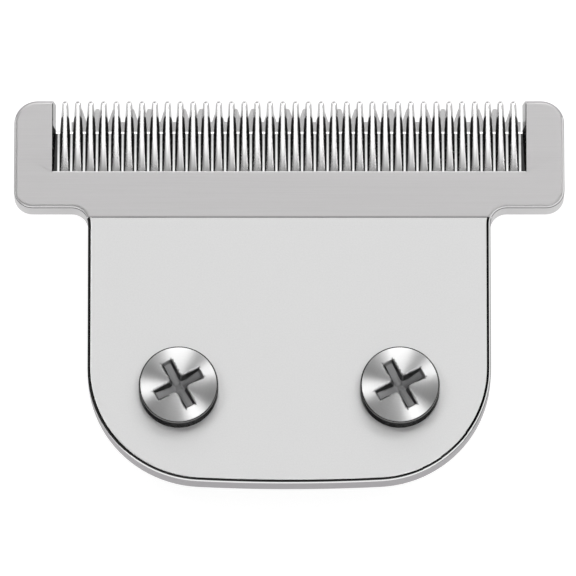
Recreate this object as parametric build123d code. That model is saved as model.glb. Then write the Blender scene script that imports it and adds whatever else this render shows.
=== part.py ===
from build123d import *
import math
import os

# A hair trimmer's T-blade: a toothed steel comb plate held by two screws, with a sprung cutter behind it.
# Millimetres. X runs along the cutting edge, Y towards the tooth tips and Z out of the front face.
# The pieces are drawn with the comb plate's back face on Z = 0 and the middle of the screw line at X = Y = 0.
# The last lines lift them so that the origin lies in the plane of the screw pads, where the set is screwed on.

# Comb plate, the fixed blade
plate_thickness = 2.0
body_width = 29.2
body_drop = 6.95
body_corner_radius = 8.4
bottom_bow_radius = 130.0
bar_width = 40.0
bar_height = 8.25
bar_underside_y = 13.65
bar_top_corner_radius = 1.7
bar_bottom_corner_radius = 1.35
neck_fillet_radius = 1.2
edge_chamfer = 0.3

# Ground bevel on the front of the bar, which starts a little below the bar's underside
grind_margin = 0.75
grind_step = 0.06
grind_angle = 4.0

# Comb teeth, cut by slanting grooves that break through the back of the plate
ear_width = 2.8
tooth_pitch = 0.9326
tooth_length = 5.65
tooth_overhang = 0.2
tooth_step = 0.06
tooth_tip_thickness = 0.35
tooth_bevel_radius = 20.0
tooth_tip_chamfer = 0.09
groove_floor_width = 0.2
groove_wall_angle = 11.3
groove_root_depth = 0.42
groove_exit_setback = 2.2

# Hollow on the back of the comb plate, between the two lapped lands that the cutter runs on
hollow_depth = 0.3
hollow_width = 3.1
heel_land = 1.05

# Cutter, the moving blade
running_gap = 0.02
cutter_thickness = 0.8
cutter_pitch = 1.2585
cutter_tip_setback = 0.45
cutter_tooth_length = 1.0
cutter_gap_root_width = 0.34
cutter_tooth_tip_width = 0.26
cutter_bevel_length = 3.9
cutter_tip_thickness = 0.22
cutter_tip_chamfer = 0.08
cutter_shoulder_cover = 0.75
waist_side_gap = 0.7
stroke = 2.0
rest_shift = 0.5

# Screws
screw_spacing = 16.0
thread_diameter = 3.0
shank_diameter = 2.65
screw_length = 8.0
screw_hole_clearance = 0.3
screw_point_chamfer = 0.4
head_diameter = 5.75
head_height = 1.7
head_edge_chamfer = 0.2
recess_span = 3.74
recess_width = 0.82
recess_depth = 1.15
recess_end_depth = 0.4
recess_corner_round = 0.22
recess_turn = 28.0

# Rear frame, the moulding that carries the spring and guides the cutter
frame_inset = 2.1
frame_arm_gap = 1.0
frame_depth = 6.2
frame_wall = 1.4
frame_edge_chamfer = 0.3
frame_corner_radius = 5.0
web_thickness = 1.0
pad_diameter = 6.4
pad_height = 2.0
rail_width = 0.75
rail_top_y = 8.15

# Carrier, the drive fork on the back of the cutter
guide_gap = 0.1
carrier_margin = 1.4
carrier_height = 4.95
carrier_base_thickness = 0.95
carrier_corner_radius = 0.8
claw_thickness = 0.75
claw_hook_width = 0.6
fork_slot_width = 5.05
fork_wall = 1.55
fork_end_wall = 1.0
fork_setback = 0.2
fork_corner_radius = 0.5
fork_lead_in = 0.35
rivet_diameter = 1.8
rivet_edge = 2.2
rivet_clearance = 0.05
rivet_recess = 0.12

# Spring, one wire wound into two coils that hang on the frame's pegs
wire_diameter = 0.6
wire_sides = 6
coil_mean_radius = 1.5
coil_turns = 2
coil_pitch = 0.72
coil_wall_gap = 0.5
coil_bridge_gap = 0.45
spring_gap = 0.05
spring_bend_radius = 0.7
foot_reach = 2.95
foot_fork_gap = 0.3
bridge_pad_gap = 0.35
bridge_ledge_width = 0.9
peg_diameter = 2.0
peg_overhang = 0.5

# Values that follow from the sizes above
bar_top_y = bar_underside_y + bar_height
grind_line_y = bar_underside_y - grind_margin
tooth_tip_y = bar_top_y + tooth_overhang
tooth_root_y = tooth_tip_y - tooth_length
tooth_count = int((bar_width - 2 * ear_width) / tooth_pitch)
tooth_zone = tooth_count * tooth_pitch
screw_hole_diameter = thread_diameter + screw_hole_clearance
cutter_count = int(tooth_zone / cutter_pitch)
cutter_shoulder_y = bar_underside_y + cutter_shoulder_cover
cutter_back_z = -running_gap - cutter_thickness
frame_width = body_width - 2 * frame_inset
frame_inside_x = frame_width / 2 - frame_wall
waist_half = frame_inside_x - stroke / 2 - waist_side_gap
carrier_half = waist_half - carrier_margin
carrier_low_y = rail_top_y + guide_gap
carrier_top_y = carrier_low_y + carrier_height
rivet_places = [(side * (carrier_half - rivet_edge), (carrier_low_y + carrier_top_y) / 2) for side in (-1, 1)]
fork_half = fork_slot_width / 2 + fork_wall
shoulder_z = cutter_back_z - carrier_base_thickness
claw_z = shoulder_z - claw_thickness
rail_z = shoulder_z + guide_gap
leg_z = shoulder_z - spring_gap - wire_diameter / 2
coil_axis_z = leg_z - coil_mean_radius
coil_inside_radius = coil_mean_radius - wire_diameter / 2
coil_outer_x = frame_inside_x - coil_wall_gap - wire_diameter / 2
coil_inner_x = coil_outer_x - coil_turns * coil_pitch
bridge_y = pad_diameter / 2 + bridge_pad_gap + wire_diameter / 2
coil_axis_y = bridge_y + coil_bridge_gap + coil_mean_radius + wire_diameter
big = 4 * bar_width


def prism_x(points_face, width):
    """Solid of a profile drawn in Y and Z, centred on X = 0."""
    return extrude(points_face, amount=width / 2, both=True)


def profile_yz(*points):
    """Face in the YZ plane from (y, z) corner points."""
    return Plane.YZ * make_face(Polyline(*points, close=True))


def box_between(x, y, z):
    """Box from three (low, high) pairs."""
    size = [high - low for low, high in (x, y, z)]
    centre = [(high + low) / 2 for low, high in (x, y, z)]
    return Pos(*centre) * Box(*size)


def along_z(face, low, high):
    """Extrusion of an XY face from one height to another."""
    return extrude(Pos(0, 0, low) * face, amount=high - low)


def shield_face(width, drop, corner_radius, top, bow_radius):
    """Straight-sided plate outline with round lower corners and a slightly bowed bottom edge."""
    half = width / 2
    sag = bow_radius - math.sqrt(bow_radius**2 - half**2)
    low = sag - drop
    bottom = ThreePointArc((-half, low), (0, -drop), (half, low))
    sides = Polyline((half, low), (half, top), (-half, top), (-half, low))
    face = make_face([bottom, sides])
    corners = face.vertices().group_by(Axis.Y)[0]
    return fillet(corners, corner_radius)


def comb_outline():
    """T-shaped outline of the comb plate, without its teeth."""
    body = shield_face(body_width, body_drop, body_corner_radius, bar_top_y, bottom_bow_radius)
    bar = Pos(0, (bar_top_y + bar_underside_y) / 2) * Rectangle(bar_width, bar_height)
    bar = fillet(bar.vertices().group_by(Axis.Y)[-1], bar_top_corner_radius)
    bar = fillet(bar.vertices().group_by(Axis.Y)[0], bar_bottom_corner_radius)
    outline = body + bar
    necks = [
        v
        for v in outline.vertices()
        if abs(abs(v.X) - body_width / 2) < 1e-4 and abs(v.Y - bar_underside_y) < 1e-4
    ]
    return fillet(necks, neck_fillet_radius)


def chamfered_front(solid):
    """Breaks the sharp rim of a plate's front face."""
    front = solid.faces().sort_by(Axis.Z)[-1]
    return chamfer(front.edges(), edge_chamfer)


def ground_z(y):
    """Height of the ground bevel on the bar."""
    return plate_thickness - grind_step - (y - grind_line_y) * math.tan(math.radians(grind_angle))


def bar_blank():
    """Upper part of the plate, with its front ground to a slight slope."""
    blank = along_z(comb_outline(), 0, big)
    low_y = -big / 2
    high_y = big / 2
    below = profile_yz((low_y, -big), (high_y, -big), (high_y, ground_z(high_y)), (low_y, ground_z(low_y)))
    return chamfered_front(blank & prism_x(below, big))


def tooth_block():
    """Strip that the teeth are cut from, thinning to the tips on a gentle curve."""
    root_z = ground_z(tooth_root_y) - tooth_step
    root = (tooth_root_y, root_z)
    tip = (tooth_tip_y, tooth_tip_thickness)
    curve = RadiusArc(root, tip, tooth_bevel_radius)
    rest = Polyline(tip, (tooth_tip_y, 0), (tooth_root_y, 0), root)
    return prism_x(Plane.YZ * make_face([curve, rest]), tooth_zone)


def groove_tool():
    """One slanting groove with an upright end: a narrow flat floor between two leaning walls."""
    start_z = ground_z(tooth_root_y) - tooth_step - groove_root_depth
    fall = math.atan2(start_z, tooth_length - groove_exit_setback)
    along = (0, math.cos(fall), -math.sin(fall))
    plane = Plane(origin=(0, tooth_root_y, start_z), x_dir=(1, 0, 0), z_dir=(0, 1, 0))
    height = 2 * plate_thickness
    half = groove_floor_width / 2
    spread = half + height * math.tan(math.radians(groove_wall_angle))
    section = make_face(Polyline((-half, 0), (half, 0), (spread, -height), (-spread, -height), close=True))
    return extrude(plane * section, amount=2 * tooth_length, dir=along)


def pattern_x(count, pitch):
    """Places along X, centred on X = 0."""
    return [(i - (count - 1) / 2) * pitch for i in range(count)]


def tip_corner_edges(solid, tip_y):
    """The upright corner edges at the ends of a row of teeth."""
    ends = [f for f in solid.faces() if abs(f.center().Y - tip_y) < 1e-4]
    return [e for f in ends for e in f.edges() if abs(e.tangent_at(0.5).X) < 0.5]


def screw_places():
    return [(-screw_spacing / 2, 0), (screw_spacing / 2, 0)]


def fixed_blade():
    """Comb plate: flat body, ground bar, and teeth between two plain ears."""
    body = chamfered_front(along_z(comb_outline(), 0, plate_thickness))
    body = body & box_between((-big, big), (-big, grind_line_y), (-big, big))
    bar = bar_blank() & box_between((-big, big), (grind_line_y, big), (-big, big))
    half_zone = tooth_zone / 2
    bar = bar - box_between((-half_zone, half_zone), (tooth_root_y, big), (-big, big))
    blade = body + bar + tooth_block()
    tool = groove_tool()
    blade = blade - [Pos(x, 0, 0) * tool for x in pattern_x(tooth_count + 1, tooth_pitch)]
    blade = chamfer(tip_corner_edges(blade, tooth_tip_y), tooth_tip_chamfer)
    hollow_low_y = bar_underside_y + heel_land
    hollow = box_between((-big, big), (hollow_low_y, hollow_low_y + hollow_width), (-big, hollow_depth))
    blade = blade - hollow
    hole = Cylinder(screw_hole_diameter / 2, big)
    return blade - [Pos(x, y, 0) * hole for x, y in screw_places()]


def moving_blade():
    """Cutter plate with a row of coarser pointed teeth, bevelled on the back."""
    tip_y = tooth_tip_y - cutter_tip_setback
    root_y = tip_y - cutter_tooth_length
    half = cutter_count * cutter_pitch / 2
    wide = Pos(0, (tip_y + cutter_shoulder_y) / 2) * Rectangle(2 * half, tip_y - cutter_shoulder_y)
    waist = Pos(0, (tip_y + carrier_low_y) / 2) * Rectangle(2 * waist_half, tip_y - carrier_low_y)
    outline = wide + waist
    blade = along_z(outline, cutter_back_z, -running_gap)
    root_half = cutter_gap_root_width / 2
    mouth_half = (cutter_pitch - cutter_tooth_tip_width) / 2
    gap = make_face(
        Polyline((-root_half, root_y), (root_half, root_y), (mouth_half, tip_y), (-mouth_half, tip_y), close=True)
    )
    tool = along_z(gap, -big, big)
    blade = blade - [Pos(x, 0, 0) * tool for x in pattern_x(cutter_count + 1, cutter_pitch)]
    tip_back_z = -running_gap - cutter_tip_thickness
    bevel = profile_yz((tip_y - cutter_bevel_length, cutter_back_z), (tip_y, tip_back_z), (tip_y, -big))
    blade = blade - prism_x(bevel, big)
    blade = chamfer(tip_corner_edges(blade, tip_y), cutter_tip_chamfer)
    hole = Cylinder(rivet_diameter / 2 + rivet_clearance, big)
    blade = blade - [Pos(x, y, 0) * hole for x, y in rivet_places]
    return Pos(rest_shift, 0, 0) * blade


def carrier():
    """Drive fork on the cutter: a base, a claw that runs on the frame's rail, and a slot for the eccentric."""
    hook_y = rail_top_y - rail_width - guide_gap
    claw_low_y = hook_y - claw_hook_width
    base_x = (-carrier_half, carrier_half)
    base = box_between(base_x, (carrier_low_y, carrier_top_y), (shoulder_z, cutter_back_z))
    base = fillet(base.edges().filter_by(Axis.Z), carrier_corner_radius)
    fork_x = (-fork_half, fork_half)
    hook = box_between(fork_x, (claw_low_y, hook_y), (shoulder_z, -web_thickness - guide_gap))
    fork = box_between(fork_x, (claw_low_y, carrier_top_y), (fork_setback - frame_depth, shoulder_z))
    fork = fillet(fork.edges().filter_by(Axis.Z), fork_corner_radius)
    slot_half = fork_slot_width / 2
    slot = box_between((-slot_half, slot_half), (-big, carrier_top_y - fork_end_wall), (-big, claw_z))
    fork = fork - slot
    mouth = fork.faces().sort_by(Axis.Z)[0].edges().filter_by(Axis.Y)
    fork = chamfer([e for e in mouth if abs(abs(e.center().X) - slot_half) < 1e-4], fork_lead_in)
    rivet = along_z(Circle(rivet_diameter / 2), cutter_back_z, -running_gap - rivet_recess)
    rivets = [Pos(x, y, 0) * rivet for x, y in rivet_places]
    return Pos(rest_shift, 0, 0) * (base + hook + fork + rivets)


def rear_frame():
    """Open moulding behind the comb plate: a rim, screw pads, a guide rail, a spring ledge and two spring pegs."""
    top_y = cutter_shoulder_y - frame_arm_gap
    drop = body_drop - frame_inset
    outer = shield_face(frame_width, drop, frame_corner_radius, top_y, bottom_bow_radius)
    inside_radius = frame_corner_radius - frame_wall
    inner = shield_face(2 * frame_inside_x, drop - frame_wall, inside_radius, 2 * top_y, bottom_bow_radius)
    rim = along_z(outer - inner, -frame_depth, 0)
    rim = chamfer(rim.faces().sort_by(Axis.Z)[0].edges(), frame_edge_chamfer)
    web_area = outer & Pos(0, rail_top_y - big / 2) * Rectangle(big, big)
    web = along_z(web_area, -web_thickness, 0)
    across = (-frame_width / 2 + frame_wall / 2, frame_width / 2 - frame_wall / 2)
    rail = box_between(across, (rail_top_y - rail_width, rail_top_y), (rail_z, 0))
    ledge_y = (bridge_y - bridge_ledge_width / 2, bridge_y + bridge_ledge_width / 2)
    ledge_z = leg_z + wire_diameter / 2 + spring_gap
    ledge = box_between(across, ledge_y, (ledge_z, 0))
    pads = [Pos(x, y) * along_z(Circle(pad_diameter / 2), -pad_height, 0) for x, y in screw_places()]
    peg_z = coil_axis_z + coil_inside_radius - peg_diameter / 2 - spring_gap
    peg_end = coil_inner_x - peg_overhang
    peg_length = frame_width / 2 - frame_wall / 2 - peg_end
    peg = Rot(0, 90, 0) * Cylinder(peg_diameter / 2, peg_length)
    peg_x = peg_end + peg_length / 2
    pegs = [Pos(side * peg_x, coil_axis_y, peg_z) * peg for side in (-1, 1)]
    frame = rim + web + rail + ledge + pads + pegs
    hole = Cylinder(screw_hole_diameter / 2, big)
    return frame - [Pos(x, y, 0) * hole for x, y in screw_places()]


def spring():
    """Double torsion spring: two feet press on the carrier, and the bridge bears on the frame's ledge."""
    lean = coil_pitch / (2 * math.pi * coil_mean_radius)
    foot_y = carrier_low_y + foot_reach
    foot_x = coil_inner_x - lean * (foot_y - coil_axis_y)
    foot_end_x = fork_half + stroke / 2 + foot_fork_gap
    bridge_x = coil_outer_x + lean * (coil_axis_y - bridge_y)
    leg = FilletPolyline(
        (foot_end_x, foot_y, leg_z),
        (foot_x, foot_y, leg_z),
        (coil_inner_x, coil_axis_y, leg_z),
        radius=spring_bend_radius,
    )
    helix = Helix(coil_pitch, coil_turns * coil_pitch, coil_mean_radius)
    axis_plane = Plane(origin=(coil_inner_x, coil_axis_y, coil_axis_z), x_dir=(0, 0, 1), z_dir=(1, 0, 0))
    coil = axis_plane * helix
    tail = FilletPolyline(
        (coil_outer_x, coil_axis_y, leg_z),
        (bridge_x, bridge_y, leg_z),
        (0, bridge_y, leg_z),
        radius=spring_bend_radius,
    )
    path = Wire([*leg.edges(), *coil.edges(), *tail.edges()])
    section = Plane(origin=path @ 0, z_dir=path % 0) * RegularPolygon(wire_diameter / 2, wire_sides)
    half = sweep(section, path=path, is_frenet=False)
    return half + mirror(half, about=Plane.YZ)


def screw():
    """Machine screw with a low cylindrical head, a reduced shank and a cross recess."""
    top = plate_thickness + head_height
    radius = head_diameter / 2
    tip_z = plate_thickness - screw_length
    thread_top = -pad_height
    profile = Polyline(
        (0, 0, top),
        (radius - head_edge_chamfer, 0, top),
        (radius, 0, top - head_edge_chamfer),
        (radius, 0, plate_thickness),
        (shank_diameter / 2, 0, plate_thickness),
        (shank_diameter / 2, 0, thread_top),
        (thread_diameter / 2, 0, thread_top),
        (thread_diameter / 2, 0, tip_z + screw_point_chamfer),
        (thread_diameter / 2 - screw_point_chamfer, 0, tip_z),
        (0, 0, tip_z),
        close=True,
    )
    blank = revolve(make_face(profile), Axis.Z)
    return blank - Pos(0, 0, top) * Rot(0, 0, recess_turn) * recess_tool()


def recess_tool():
    """Cross recess: four arms whose floors slope down to the middle."""
    cross = Rectangle(recess_span, recess_width) + Rectangle(recess_width, recess_span)
    inside = [v for v in cross.vertices() if abs(abs(v.X) - abs(v.Y)) < 1e-4]
    cross = fillet(inside, recess_corner_round)
    arms = extrude(Pos(0, 0, -recess_depth) * cross, amount=2 * recess_depth)
    low = recess_width / 2
    slope = (recess_span / 2 - low) / (recess_depth - recess_end_depth)
    high = low + slope * 2 * recess_depth
    wedge = prism_x(
        profile_yz((-low, -recess_depth), (low, -recess_depth), (high, recess_depth), (-high, recess_depth)), big
    )
    return arms & wedge & Rot(0, 0, 90) * wedge


os.makedirs("parts", exist_ok=True)
pieces = {
    "fixed_blade": fixed_blade(),
    "moving_blade": moving_blade(),
    "drive_carrier": carrier(),
    "rear_frame": rear_frame(),
    "tension_spring": spring(),
    "left_screw": Pos(-screw_spacing / 2, 0, 0) * screw(),
    "right_screw": Pos(screw_spacing / 2, 0, 0) * screw(),
}
for name, solid in pieces.items():
    export_step(Pos(0, 0, pad_height) * solid, f"parts/{name}.step")
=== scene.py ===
# %% [markdown]
# # A trimmer's T-blade, dressed for its picture
# The part is a steel comb plate on two screws, with a sprung cutter behind it. The solids are already
# packed in one frame, in metres: X runs along the cutting edge, Y towards the tooth tips and Z out of the
# front face. This lesson loads that frame and builds a finer piece over each solid: rounded edges, ground
# teeth, real threads. The box of the solids is kept first, because nothing here may grow out of it.

# %% Load the frame and keep its box
import math

import bmesh
import bpy
from mathutils import Matrix, Vector


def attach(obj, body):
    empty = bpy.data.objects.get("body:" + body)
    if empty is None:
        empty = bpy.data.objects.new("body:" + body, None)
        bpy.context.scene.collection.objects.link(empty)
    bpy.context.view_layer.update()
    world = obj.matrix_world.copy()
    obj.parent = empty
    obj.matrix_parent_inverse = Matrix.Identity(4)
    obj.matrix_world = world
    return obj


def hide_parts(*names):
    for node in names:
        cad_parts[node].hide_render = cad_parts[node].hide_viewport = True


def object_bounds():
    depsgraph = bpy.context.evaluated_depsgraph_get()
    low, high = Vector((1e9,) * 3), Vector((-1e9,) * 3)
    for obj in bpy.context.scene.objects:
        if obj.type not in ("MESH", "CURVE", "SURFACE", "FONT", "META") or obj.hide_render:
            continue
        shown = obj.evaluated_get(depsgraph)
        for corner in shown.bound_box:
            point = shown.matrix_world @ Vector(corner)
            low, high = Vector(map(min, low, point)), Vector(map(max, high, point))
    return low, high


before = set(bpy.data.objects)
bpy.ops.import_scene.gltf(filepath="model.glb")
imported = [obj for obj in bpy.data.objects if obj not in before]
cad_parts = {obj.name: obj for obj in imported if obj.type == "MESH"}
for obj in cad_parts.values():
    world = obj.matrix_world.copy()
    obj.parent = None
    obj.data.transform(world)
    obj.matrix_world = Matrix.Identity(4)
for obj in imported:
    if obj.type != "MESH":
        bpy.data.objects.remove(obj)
cad_low, cad_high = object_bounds()
scene = bpy.context.scene
MM = 0.001
print("box of the solids in mm:", [round(v / MM, 2) for v in (*cad_low, *cad_high)])

# %% [markdown]
# ## Ruler and compass
# A toolmaker sets out a plate with straight lines and arcs. In Blender an outline could be typed in as a
# list of points, or drawn as a curve. Here one vertex is pulled along straight edges and swung round
# centres by the spin operator, so every arc is exact and meets its neighbours without a kink. Lengths are
# in millimetres.

# %% Draw a line
Vert, Edge = bmesh.types.BMVert, bmesh.types.BMEdge
X_AXIS, Y_AXIS, Z_AXIS = (1, 0, 0), (0, 1, 0), (0, 0, 1)


def pick(geom, kind):
    """The vertices or the edges in a mixed list."""
    return [g for g in geom if isinstance(g, kind)]


def start_line(bm, x, y, z):
    """One vertex to draw from."""
    return bmesh.ops.create_vert(bm, co=Vector((x, y, z)) * MM)["vert"][0]


def draw_to(bm, vert, x, y, z):
    """A straight edge from the last vertex to a point."""
    new = bmesh.ops.extrude_vert_indiv(bm, verts=[vert])["verts"][0]
    new.co = Vector((x, y, z)) * MM
    return new


def draw_along(bm, points):
    """A line of straight edges through some points."""
    vert = start_line(bm, *points[0])
    for point in points[1:]:
        vert = draw_to(bm, vert, *point)


def swing(bm, vert, centre, degrees, steps, axis=Z_AXIS):
    """An arc of edges: the last vertex swings round a centre."""
    angle = math.radians(degrees)
    out = bmesh.ops.spin(bm, geom=[vert], cent=Vector(centre) * MM, axis=axis, angle=angle, steps=steps)
    return pick(out["geom_last"], Vert)[0]


def draw_path(bm, vert, z, moves):
    """Straight edges to points (x, y), and arcs round centres (x, y, degrees, steps)."""
    for x, y, *arc in moves:
        vert = swing(bm, vert, (x, y, z), *arc) if arc else draw_to(bm, vert, x, y, z)
    return vert


print("lengths are drawn in units of", MM, "m")

# %% [markdown]
# Most of the pieces are symmetrical blocks. Half of an outline is drawn, mirrored and filled with one face,
# and the face is pulled to its thickness. Mirror and Solidify modifiers give the same block, but later cuts
# need real faces.

# %% From a line to a block
MERGE = 1e-7


def merge_doubles(bm):
    """Joins the vertices that lie in one place."""
    bmesh.ops.remove_doubles(bm, verts=bm.verts[:], dist=MERGE)


def fill_line(bm):
    """One flat face inside a closed line."""
    merge_doubles(bm)
    bmesh.ops.edgeloop_fill(bm, edges=bm.edges[:])


def thicken(bm, vec):
    """Pulls a flat face into a closed block."""
    out = bmesh.ops.extrude_face_region(bm, geom=bm.faces[:])
    bmesh.ops.translate(bm, verts=pick(out["geom"], Vert), vec=Vector(vec) * MM)
    bmesh.ops.recalc_face_normals(bm, faces=bm.faces[:])


def block_from_half(bm, height):
    """Mirrors the right half of an outline, fills it and pulls it to a height."""
    half = bm.verts[:] + bm.edges[:]
    bmesh.ops.mirror(bm, geom=half, matrix=Matrix.Identity(4), merge_dist=MERGE, axis="X")
    fill_line(bm)
    thicken(bm, (0, 0, height))


print("doubles are merged within", MERGE, "m")

# %% [markdown]
# ## Cutting and softening
# Ground and moulded pieces get their last form from plane cuts and rounded edges. Booleans cut too, but
# they leave long thin faces that shade badly. A plane cut adds only the edges that it needs, and some faces
# can be picked for it. A rounded edge matters most of all: the thin line of light along it is what makes
# metal look solid.

# %% Cut and soften
HAIR = 0.01


def touching(faces):
    """Some faces with their edges and corners."""
    return list(dict.fromkeys(g for f in faces for g in (f, *f.edges, *f.verts)))


def cut_line(bm, point, normal, geom=None, clear_inner=False):
    """Cuts along a plane, and can throw away the side that the normal leaves behind."""
    geom = geom or bm.verts[:] + bm.edges[:] + bm.faces[:]
    point = Vector(point) * MM
    out = bmesh.ops.bisect_plane(
        bm, geom=geom, dist=1e-8, plane_co=point, plane_no=normal, clear_inner=clear_inner
    )
    return pick(out["geom_cut"], Edge)


def soften(bm, edges, width, segments):
    """Rounds a set of edges."""
    bmesh.ops.bevel(
        bm,
        geom=list(edges),
        offset=width * MM,
        offset_type="OFFSET",
        segments=segments,
        profile=0.5,
        affect="EDGES",
        clamp_overlap=False,
        material=-1,
    )


print("places closer than", HAIR, "mm count as one")

# %% [markdown]
# Edges are picked by what they part or where they lie. Numbers of edges could be typed in, but they would
# change with the next change to the outline.

# %% Pick edges


def edges_between(bm, one, other):
    """The edges that part two kinds of face."""
    found = []
    for e in bm.edges:
        if len(e.link_faces) == 2:
            a, b = e.link_faces
            if (one(a) and other(b)) or (one(b) and other(a)):
                found.append(e)
    return found


def crease_edges(bm, degrees):
    """The edges sharper than an angle."""
    limit = math.radians(degrees)
    return [e for e in bm.edges if len(e.link_faces) == 2 and e.calc_face_angle() > limit]


def middle(edge):
    """The middle of an edge, in millimetres."""
    return (edge.verts[0].co + edge.verts[1].co) / 2 / MM


def edges_of(verts):
    """The edges that meet some vertices."""
    return list(dict.fromkeys(e for v in verts for e in v.link_edges))


print("edge pickers ready")

# %% [markdown]
# ## Pieces
# A finished mesh becomes a named piece that rides on its body and stands for its solid. Edges that are
# still sharp are marked, and weighted normals keep the flats flat beside the rounded edges. More faces
# would do that too, but they cost time. The line that is printed tells whether the mesh is closed: no loose
# vertex and no open edge.

# %% Make a piece


def add_shell(bm, shell):
    """Puts a finished closed shell into a piece."""
    bmesh.ops.recalc_face_normals(shell, faces=shell.faces[:])
    spare = bpy.data.meshes.new("spare")
    shell.to_mesh(spare)
    shell.free()
    bm.from_mesh(spare)
    bpy.data.meshes.remove(spare)


def make_piece(bm, name, body, node, finishes, sharp_degrees=32):
    """A named piece that stands for a solid, rides on its body and takes its finishes."""
    loose = sum(not v.link_faces for v in bm.verts)
    opened = sum(len(e.link_faces) != 2 for e in bm.edges)
    mesh = bpy.data.meshes.new(name)
    bm.to_mesh(mesh)
    bm.free()
    mesh.shade_smooth()
    mesh.set_sharp_from_angle(angle=math.radians(sharp_degrees))
    for finish in finishes:
        mesh.materials.append(finish)
    piece = bpy.data.objects.new(name, mesh)
    scene.collection.objects.link(piece)
    evened = piece.modifiers.new("even_shading", "WEIGHTED_NORMAL")
    evened.keep_sharp = True
    evened.weight = 100
    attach(piece, body)
    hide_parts(node)
    places = [v.co / MM for v in mesh.vertices]
    low, high = ([round(end(p[i] for p in places), 2) for i in range(3)] for end in (min, max))
    print(name, "faces", len(mesh.polygons), "loose", loose, "open", opened, "from", low, "to", high)


print("pieces ride on their bodies")

# %% [markdown]
# ## Finishes
# Every finish is a small tree of nodes. Image textures would need a picture and a layout for it. These
# trees read the object's own coordinates instead, so a finish stays in place when its piece moves.

# %% Node helpers
MIX_SOCKETS = {"RGBA": (6, 7, 2), "FLOAT": (2, 3, 0)}


def join(tree, value, socket):
    """Gives a socket a value, or links another socket to it."""
    if isinstance(value, bpy.types.NodeSocket):
        tree.links.new(value, socket)
    else:
        socket.default_value = value


def add_node(tree, kind, **settings):
    """One node. A setting with the name of an input goes to that input, and any other is a property."""
    node = tree.nodes.new(kind)
    for key, value in settings.items():
        name = key.replace("_", " ")
        if name in node.inputs:
            join(tree, value, node.inputs[name])
        else:
            setattr(node, key, value)
    return node


def calc(tree, operation, *values):
    """One sum on numbers."""
    node = add_node(tree, "ShaderNodeMath", operation=operation)
    for value, socket in zip(values, node.inputs):
        join(tree, value, socket)
    return node.outputs[0]


def fade(tree, value, low, high, start=0.0, end=1.0):
    """Follows a value from one end to the other and stays there."""
    node = tree.nodes.new("ShaderNodeMapRange")
    for setting, socket in zip((value, low, high, start, end), node.inputs):
        join(tree, setting, socket)
    return node.outputs[0]


def blend(tree, share, first, second, kind="RGBA"):
    """A colour or a number between two others."""
    node = add_node(tree, "ShaderNodeMix", data_type=kind)
    one, two, out = MIX_SOCKETS[kind]
    for value, index in ((share, 0), (first, one), (second, two)):
        join(tree, value, node.inputs[index])
    return node.outputs[out]


def split(tree, place):
    """The three coordinates of a place."""
    return add_node(tree, "ShaderNodeSeparateXYZ", Vector=place).outputs


print("node helpers ready")

# %% [markdown]
# No finish is perfectly even. A noise gives each one a fine grain, which can be drawn out into grinding
# lines by stretching the coordinates. A bump of a few thousandths of a millimetre breaks up the
# reflections.

# %% Parts of a finish
MICRON = 1e-6


def grey(level):
    """A colour without a hue."""
    return (level, level, level, 1)


def noise(tree, place, scale, detail, stretch=(1, 1, 1)):
    """A cloudy value on the object's coordinates, which can be drawn out along an axis."""
    drawn = add_node(tree, "ShaderNodeMapping", Vector=place, Scale=stretch).outputs[0]
    return add_node(tree, "ShaderNodeTexNoise", Vector=drawn, Scale=scale, Detail=detail).outputs[0]


def new_finish(name):
    """A material with its shader and the object's coordinates."""
    material = bpy.data.materials.new(name)
    material.use_nodes = True
    tree = material.node_tree
    place = tree.nodes.new("ShaderNodeTexCoord").outputs["Object"]
    return material, tree, tree.nodes["Principled BSDF"], place


def coat(tree, shader, colour, rough, metal=1.0):
    """Gives the shader its colour and its roughness."""
    tree.links.new(colour, shader.inputs["Base Color"])
    tree.links.new(rough, shader.inputs["Roughness"])
    shader.inputs["Metallic"].default_value = metal


def grained(tree, cloud, low, high):
    """A roughness that follows the middle of a noise."""
    return fade(tree, cloud, 0.3, 0.7, low, high)


def raise_bump(tree, shader, height, microns):
    """A height on the surface, with its depth in thousandths of a millimetre."""
    bump = add_node(tree, "ShaderNodeBump", Height=height, Distance=microns * MICRON, Strength=1.0)
    tree.links.new(bump.outputs[0], shader.inputs["Normal"])


print("parts of a finish ready")

# %% [markdown]
# The comb is one piece of stainless steel with three finishes on its front. The flat body is satin, with a
# grain too fine to show lines. The bar is ground along the cutting edge, and a painted shade line darkens it
# at its step. The teeth are polished, and their colour is painted from shade at the roots to a highlight at
# the tips. Three materials would part them with a hard line, so one material changes its colour, its
# roughness and its grain with the place on the plate.

# %% Steel of the comb's front
GRIND_Y = 12.9
ROOT_Y = 16.45
TEETH_HALF = 16.99
TIP_HIGHLIGHT_LENGTH = 2.8
STEP_SHADE = 0.06


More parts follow.
